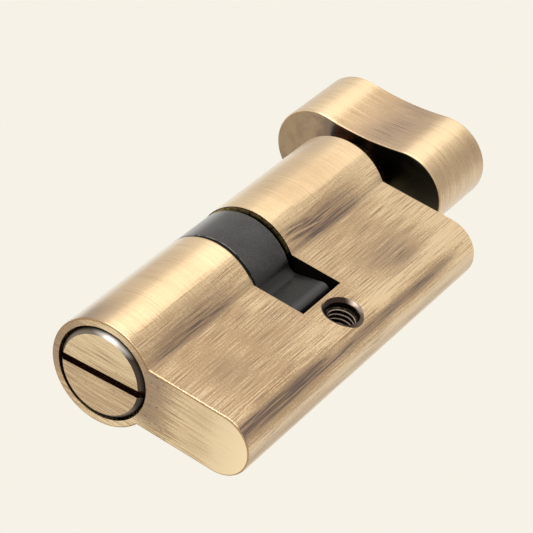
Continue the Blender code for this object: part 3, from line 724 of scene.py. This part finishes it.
def housing_material():
    graph = Graph("brushed_antique_brass")
    housing_areas(graph)
    fields = graph.fields
    brush(graph, fields["barrel"], fields["end"])
    # Dark holds patina, dirt and painted shade; light holds wear, painted highlights and painted reflections
    outer_darkening = graph.add(graph.most(flank_darkening(graph), foot_painted_shade(graph)), graph.patches(CLOUDS))
    dark = graph.blend(fields["end"], outer_darkening, graph.patches(END_STAINS))
    light = graph.blend(fields["end"], graph.add(OUTER_LIGHT, graph.patches(OUTER_LIGHTENING_AND_HIGHLIGHTS)),
                        graph.add(END_LIGHT, graph.patches(END_LIGHTENING)))
    contrast = housing_contrast(graph)
    color, darkening = brass_finish(graph, light, dark, contrast, graph.without(fields["end"]))
    for rows, shade in HOUSING_PAINTED_TINTS:
        color = graph.tint(graph.patches(rows), color, shade)
    end_edge = graph.patch(**END_EDGE)
    color = graph.tint(graph.times(end_edge, END_EDGE_TINT), color, BRASS_MID)
    slot, color = cam_slot(graph, color)
    hole, color = fixing_hole(graph, color)
    bare = graph.most(slot, hole)
    depth = graph.add(EVEN_RELIEF, graph.times(contrast, 1.0 - EVEN_RELIEF))
    relief = graph.times(fields["fine"], graph.without(bare), depth)
    cover = graph.without(graph.most(bare, graph.patch(**UNDERSIDE), end_edge))
    smooth = graph.times(hole, HOLE_SMOOTHNESS)
    finish_brass(graph, color, darkening, smooth, across_housing(graph), cover, relief, end_edge)
    return graph.material


def plug_edge_color(graph):
    """The plug's rounded edge: painted shade towards the gap, a painted highlight on one side, painted shade
    on another.
    """
    fields = graph.fields
    fields.update(edge_lit=graph.toward(fields["x"], fields["rise"], EDGE_LIT_SIDE),
                  edge_shade=graph.toward(fields["x"], fields["rise"], EDGE_SHADE_SIDE))
    shaded = graph.tint(graph.patch(**EDGE_IN_SHADE), EDGE_BRASS, EDGE_SHADE)
    lightened = graph.tint(graph.patch(**EDGE_HIGHLIGHT), shaded, EDGE_SHINE)
    return graph.tint(graph.patch(**EDGE_OUT_OF_GAP), EDGE_GAP_SHADE, lightened)


def plug_material():
    graph = Graph("brushed_brass_plug")
    fields = graph.fields
    brush(graph, 0.0, 1.0)
    fields.update(specks=graph.grain(*PLUG_SPECKS),
                  plug_lit=graph.toward(fields["x"], fields["rise"], PLUG_LIT_SIDE))
    light = graph.add(PLUG_LIGHT, graph.patch(**PLUG_PAINTED_LIGHT))
    dark = graph.add(PLUG_STAIN, graph.patch(**PLUG_DIRT))
    color, darkening = brass_finish(graph, light, dark, PLUG_CONTRAST, 0.0)
    on_face = graph.patch(**PLUG_FACE)
    color = graph.tint(on_face, plug_edge_color(graph), color)
    slot_wall = graph.patch(**COIN_SLOT_WALL)
    color = graph.tint(slot_wall, color, SLOT_RUST)
    color = graph.tint(graph.times(graph.patch(**PLUG_INSIDE_SHADE), graph.without(slot_wall)), color, GAP_SHADE)
    smooth = graph.times(graph.without(on_face), EDGE_SMOOTHNESS)
    relief = graph.times(fields["fine"], on_face)
    finish_brass(graph, color, darkening, smooth, ALONG_X, on_face, relief)
    return graph.material


def near_face_color(graph):
    """The thumbturn's unbrushed face towards the housing, in painted light and shade with a painted glint.
    """
    rise = graph.fields["rise"]
    mottle = graph.grain(*KNOB_MOTTLE)
    graph.fields["mottle"] = mottle
    lit_above = graph.ramp(graph.add(rise, graph.swing(mottle, LIT_FRAY)), *LIT_START)
    shaded_below = graph.ramp(graph.add(rise, graph.swing(mottle, SHADE_FRAY)), *SHADE_START)
    upper_face = graph.tint(lit_above, GREY_BRONZE, LIT_OLIVE_BRONZE)
    upper_face = graph.tint(graph.patch(**MOTTLED), upper_face, GREY_BRONZE)
    lower_face = graph.tint(graph.patch(**REDDISH), SHADE_BLACK, RED_BRONZE)
    lower_face = graph.tint(graph.patch(**GLINT), lower_face, GLINT_PINK)
    return graph.tint(shaded_below, upper_face, lower_face)


def knob_material():
    graph = Graph("brushed_brass_knob")
    fields = graph.fields
    around = graph.ramp(fields["facing"], *KNOB_AROUND)
    brush(graph, around, graph.without(around))
    fields.update(around=around, patches=graph.grain(*KNOB_PATCHES))
    patchy = graph.add(KNOB_STAIN_EVEN, graph.patch(**KNOB_STAIN_PATCHES))
    dark = graph.times(graph.patches(KNOB_STAINS_AND_SHADE), patchy)
    light = graph.add(KNOB_LIGHT, graph.patches(KNOB_WEAR_AND_HIGHLIGHTS))
    color, darkening = brass_finish(graph, light, dark, KNOB_CONTRAST, 1.0)
    near_face = graph.patch(**NEAR_FACE)
    color = graph.tint(near_face, color, near_face_color(graph))
    color = graph.tint(graph.patch(**NEAR_EDGE), color, BRASS_BRIGHT)
    brushed = graph.without(near_face)
    relief = graph.times(fields["fine"], brushed, KNOB_RELIEF)
    finish_brass(graph, color, darkening, near_face, ALONG_Y, brushed, relief)
    return graph.material


def cam_material():
    graph = Graph("black_oxide_steel")
    fields = graph.fields
    from_start = graph.math("SUBTRACT", fields["y"], CAM_LOW.y)
    from_end = graph.math("SUBTRACT", CAM_HIGH.y, fields["y"])
    fields.update(
        grain=graph.grain(*CAM_GRAIN), cloud=graph.grain(*CAM_CLOUD), rubbing=graph.grain(*CAM_RUBBING),
        from_edge=graph.math("MINIMUM", from_start, from_end))
    shade = graph.clamped(graph.add(graph.patches(CAM_SHADES), graph.swings(CAM_MARKS)))
    color = graph.tint(shade, BLACK_OXIDE_DARK, BLACK_OXIDE_LIGHT)
    color = graph.tint(graph.patch(**CAM_TOP_SHEEN), color, SHEEN_OXIDE_PALE)
    color = graph.tint(graph.patch(**CAM_TIP_HIGHLIGHT), color, BLACK_OXIDE_LIGHT)
    color = graph.tint(graph.patch(**CAM_WORN_EDGE), color, WORN_STEEL)
    graph.set("Base Color", color)
    graph.set("Roughness", graph.add(CAM_ROUGHNESS, graph.times(fields["cloud"], CLOUD_ROUGHNESS)))
    graph.set("Metallic", 0.0)
    graph.set("Specular IOR Level", CAM_SPECULAR)
    graph.bump(fields["grain"], MARK_DEPTH)
    return graph.material


def thread_material():
    """Cut thread, with a painted highlight on its crest and painted shade in its root."""
    graph = Graph("cut_thread")
    marks = graph.grain(*CUT_MARKS)
    graph.fields["marks"] = marks
    lightened = graph.clamped(graph.add(graph.patch(**CREST_HIGHLIGHT), graph.swings(CREST_MARKS)))
    graph.set("Base Color", graph.tint(lightened, GAP_SHADE, HOLE_SHINE))
    graph.set("Roughness", graph.add(THREAD_ROUGHNESS, graph.times(marks, MARK_ROUGHNESS)))
    graph.set("Metallic", 1.0)
    return graph.material


def turned_material(name, color, roughness):
    """Plain turned metal with faint marks, for the small inner pieces."""
    graph = Graph(name)
    marks = graph.grain(*TURNED_MARKS)
    darker = tuple(MARK_SHADE * part for part in color)
    graph.set("Base Color", graph.tint(marks, darker, color))
    graph.set("Roughness", graph.add(roughness, graph.swing(marks, MARK_ROUGHNESS)))
    graph.set("Metallic", 1.0)
    graph.bump(marks, MARK_DEPTH)
    return graph.material


def on_plug_rim(edge):
    """True for the two round edges of the release plug's face chamfer."""
    ends = [vertex.co for vertex in edge.verts]
    level = abs(ends[0].y - ends[1].y) < LEVEL_DISTANCE
    return level and all(
        end.y < PLUG_LOW.y + PLUG_RIM_DEPTH and math.hypot(end.x, end.z - AXIS_HEIGHT) > PLUG_RIM_START
        for end in ends)


def refined(node, material, edge, rounded=None, rounding=1.0):
    """
    The CAD solid as a welded, smoothly shaded piece with fine broken edges, standing for its node.
    The edges that rounded picks are broken by rounding times as much.
    """
    source = frame["nodes"][node]
    bm = bmesh.new()
    bm.from_mesh(source.data)
    bmesh.ops.remove_doubles(bm, verts=bm.verts, dist=WELD_DISTANCE)
    bmesh.ops.dissolve_limit(bm, angle_limit=FLAT_ANGLE, verts=bm.verts, edges=bm.edges)
    bmesh.ops.recalc_face_normals(bm, faces=bm.faces)
    weights = bm.edges.layers.float.new("bevel_weight_edge")
    for line in bm.edges:
        if line.calc_face_angle(0.0) > SHARP_ANGLE:
            line[weights] = 1.0 if rounded is None or rounded(line) else 1.0 / rounding
    mesh = bpy.data.meshes.new(node + "_surface")
    bm.to_mesh(mesh)
    bm.free()
    piece = bpy.data.objects.new(node + "_surface", mesh)
    bpy.context.scene.collection.objects.link(piece)
    if edge > 0.0:
        bevel = piece.modifiers.new("broken_edges", "BEVEL")
        bevel.width = edge * rounding
        bevel.segments = EDGE_SEGMENTS if rounded is None else ROUNDED_SEGMENTS
        bevel.limit_method = "WEIGHT"
        bevel.harden_normals = False
        bevel.miter_outer = "MITER_ARC"
    mesh.shade_smooth()
    weighted = piece.modifiers.new("even_shading", "WEIGHTED_NORMAL")
    weighted.weight = NORMAL_WEIGHT
    weighted.keep_sharp = True
    mesh.materials.append(material)
    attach(piece, source["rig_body"])
    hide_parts(node)


def make_thread(material):
    """The M5 thread as one helical ridge on the wall of the fixing hole, running out at both ends."""
    half_length = LEG_HALF - (COUNTERSINK_RADIUS - HOLE_RADIUS)
    turns = 2 * half_length / THREAD_PITCH - 1
    count = int(turns * THREAD_STEPS)
    bm = bmesh.new()
    sections = []
    for i in range(count + 1):
        angle = 2 * math.pi * i / THREAD_STEPS
        middle = -half_length + THREAD_PITCH / 2 + THREAD_PITCH * i / THREAD_STEPS
        run_out = min(1.0, (i + 1) / (THREAD_STEPS / 2), (count - i + 1) / (THREAD_STEPS / 2))
        crest = HOLE_RADIUS + (THREAD_CREST - HOLE_RADIUS) * run_out
        section = []
        for radius, offset in (
            (HOLE_RADIUS, -THREAD_ROOT_HALF), (crest, -THREAD_CREST_HALF),
            (crest, THREAD_CREST_HALF), (HOLE_RADIUS, THREAD_ROOT_HALF),
        ):
            corner = (middle + offset, radius * math.cos(angle), radius * math.sin(angle))
            section.append(bm.verts.new(corner))
        sections.append(section)
    for first, second in zip(sections, sections[1:]):
        for k in range(4):
            bm.faces.new((first[k], first[(k + 1) % 4], second[(k + 1) % 4], second[k]))
    bm.faces.new(sections[0])
    bm.faces.new(reversed(sections[-1]))
    bmesh.ops.recalc_face_normals(bm, faces=bm.faces)
    mesh = bpy.data.meshes.new("fixing_hole_thread")
    bm.to_mesh(mesh)
    bm.free()
    mesh.shade_smooth()
    mesh.set_sharp_from_angle(angle=THREAD_SHARP_ANGLE)
    mesh.materials.append(material)
    piece = bpy.data.objects.new("fixing_hole_thread", mesh)
    bpy.context.scene.collection.objects.link(piece)
    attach(piece, "housing")


def make_camera():
    data = bpy.data.cameras.new("photo_camera")
    data.lens = CAMERA_LENS
    data.sensor_width = FILM_WIDTH
    data.clip_start = CLIP_START
    data.clip_end = CLIP_END
    camera = bpy.data.objects.new("photo_camera", data)
    back = (CAMERA_PLACE - CAMERA_AIM).normalized()
    right = CAMERA_UP.cross(back).normalized()
    up = back.cross(right)
    turn = Matrix((right, up, back)).transposed()
    camera.matrix_world = Matrix.Translation(CAMERA_PLACE) @ turn.to_4x4()
    bpy.context.scene.collection.objects.link(camera)
    bpy.context.scene.camera = camera


def soft_light(name, direction, distance, width, height, power):
    """A rectangular soft box that faces the object's middle."""
    data = bpy.data.lights.new(name, "AREA")
    data.shape = "RECTANGLE"
    data.size = width
    data.size_y = height
    data.energy = power
    lamp = bpy.data.objects.new(name, data)
    away = Vector(direction).normalized()
    lamp.location = LIT_MIDDLE + away * distance
    lamp.rotation_mode = "QUATERNION"
    lamp.rotation_quaternion = away.to_track_quat("Z", "Y")
    bpy.context.scene.collection.objects.link(lamp)


def seen_or_mirrored(nodes, links):
    """1 for rays that show the background itself: to the camera, off metal or through glass."""
    path = nodes.new("ShaderNodeLightPath")
    total = path.outputs["Is Camera Ray"]
    for name in ("Is Glossy Ray", "Is Transmission Ray"):
        node = nodes.new("ShaderNodeMath")
        node.operation = "ADD"
        node.use_clamp = True
        links.new(total, node.inputs[0])
        links.new(path.outputs[name], node.inputs[1])
        total = node.outputs[0]
    return total


def make_world():
    world = bpy.data.worlds.new("studio")
    world.use_nodes = True
    bpy.context.scene.world = world
    nodes = world.node_tree.nodes
    links = world.node_tree.links
    shown = nodes["Background"]
    shown.inputs["Color"].default_value = (*BACKGROUND, 1.0)
    shown.inputs["Strength"].default_value = 1.0
    ambient = nodes.new("ShaderNodeBackground")
    ambient.inputs["Color"].default_value = (*AMBIENT, 1.0)
    ambient.inputs["Strength"].default_value = AMBIENT_STRENGTH
    mix = nodes.new("ShaderNodeMixShader")
    links.new(seen_or_mirrored(nodes, links), mix.inputs[0])
    links.new(ambient.outputs[0], mix.inputs[1])
    links.new(shown.outputs[0], mix.inputs[2])
    links.new(mix.outputs[0], nodes["World Output"].inputs["Surface"])


def make_floor():
    """A wide pale floor far below, so that the camera and the metal see the same plain tone everywhere."""
    material = bpy.data.materials.new("pale_floor")
    material.use_nodes = True
    nodes = material.node_tree.nodes
    links = material.node_tree.links
    diffuse = nodes["Principled BSDF"]
    diffuse.inputs["Base Color"].default_value = (*BACKGROUND, 1.0)
    diffuse.inputs["Roughness"].default_value = FLOOR_ROUGHNESS
    plain = nodes.new("ShaderNodeEmission")
    plain.inputs["Color"].default_value = (*BACKGROUND, 1.0)
    mix = nodes.new("ShaderNodeMixShader")
    links.new(seen_or_mirrored(nodes, links), mix.inputs[0])
    links.new(diffuse.outputs[0], mix.inputs[1])
    links.new(plain.outputs[0], mix.inputs[2])
    links.new(mix.outputs[0], nodes["Material Output"].inputs["Surface"])
    bm = bmesh.new()
    bmesh.ops.create_grid(bm, x_segments=1, y_segments=1, size=FLOOR_HALF)
    mesh = bpy.data.meshes.new("floor")
    bm.to_mesh(mesh)
    bm.free()
    mesh.materials.append(material)
    floor = bpy.data.objects.new("floor", mesh)
    floor.location = (0.0, 0.0, FLOOR_HEIGHT)
    bpy.context.scene.collection.objects.link(floor)


make_camera()
make_world()
make_floor()
for box_name, box_values in SOFT_BOXES.items():
    soft_light(box_name, *box_values)

turned_brass = turned_material("turned_brass_finish", TURNED_BRASS, TURNED_BRASS_ROUGHNESS)
plain_steel = turned_material("plain_steel_finish", STEEL, STEEL_ROUGHNESS)
refined("housing", housing_material(), HOUSING_EDGE)
refined("release_plug", plug_material(), PLUG_EDGE, on_plug_rim, PLUG_RIM_ROUNDING)
refined("thumbturn_knob", knob_material(), 0.0)
refined("cam", cam_material(), CAM_EDGE)
refined("turn_spindle", turned_brass, 0.0)
for small in (
    "release_washer", "turn_washer", "release_circlip", "turn_circlip", "coupling_bar",
    "coupling_pin", "knob_grub_screw", "detent_ball", "detent_spring",
):
    refined(small, plain_steel, 0.0)
make_thread(thread_material())

bpy.context.scene.view_settings.view_transform = "Standard"
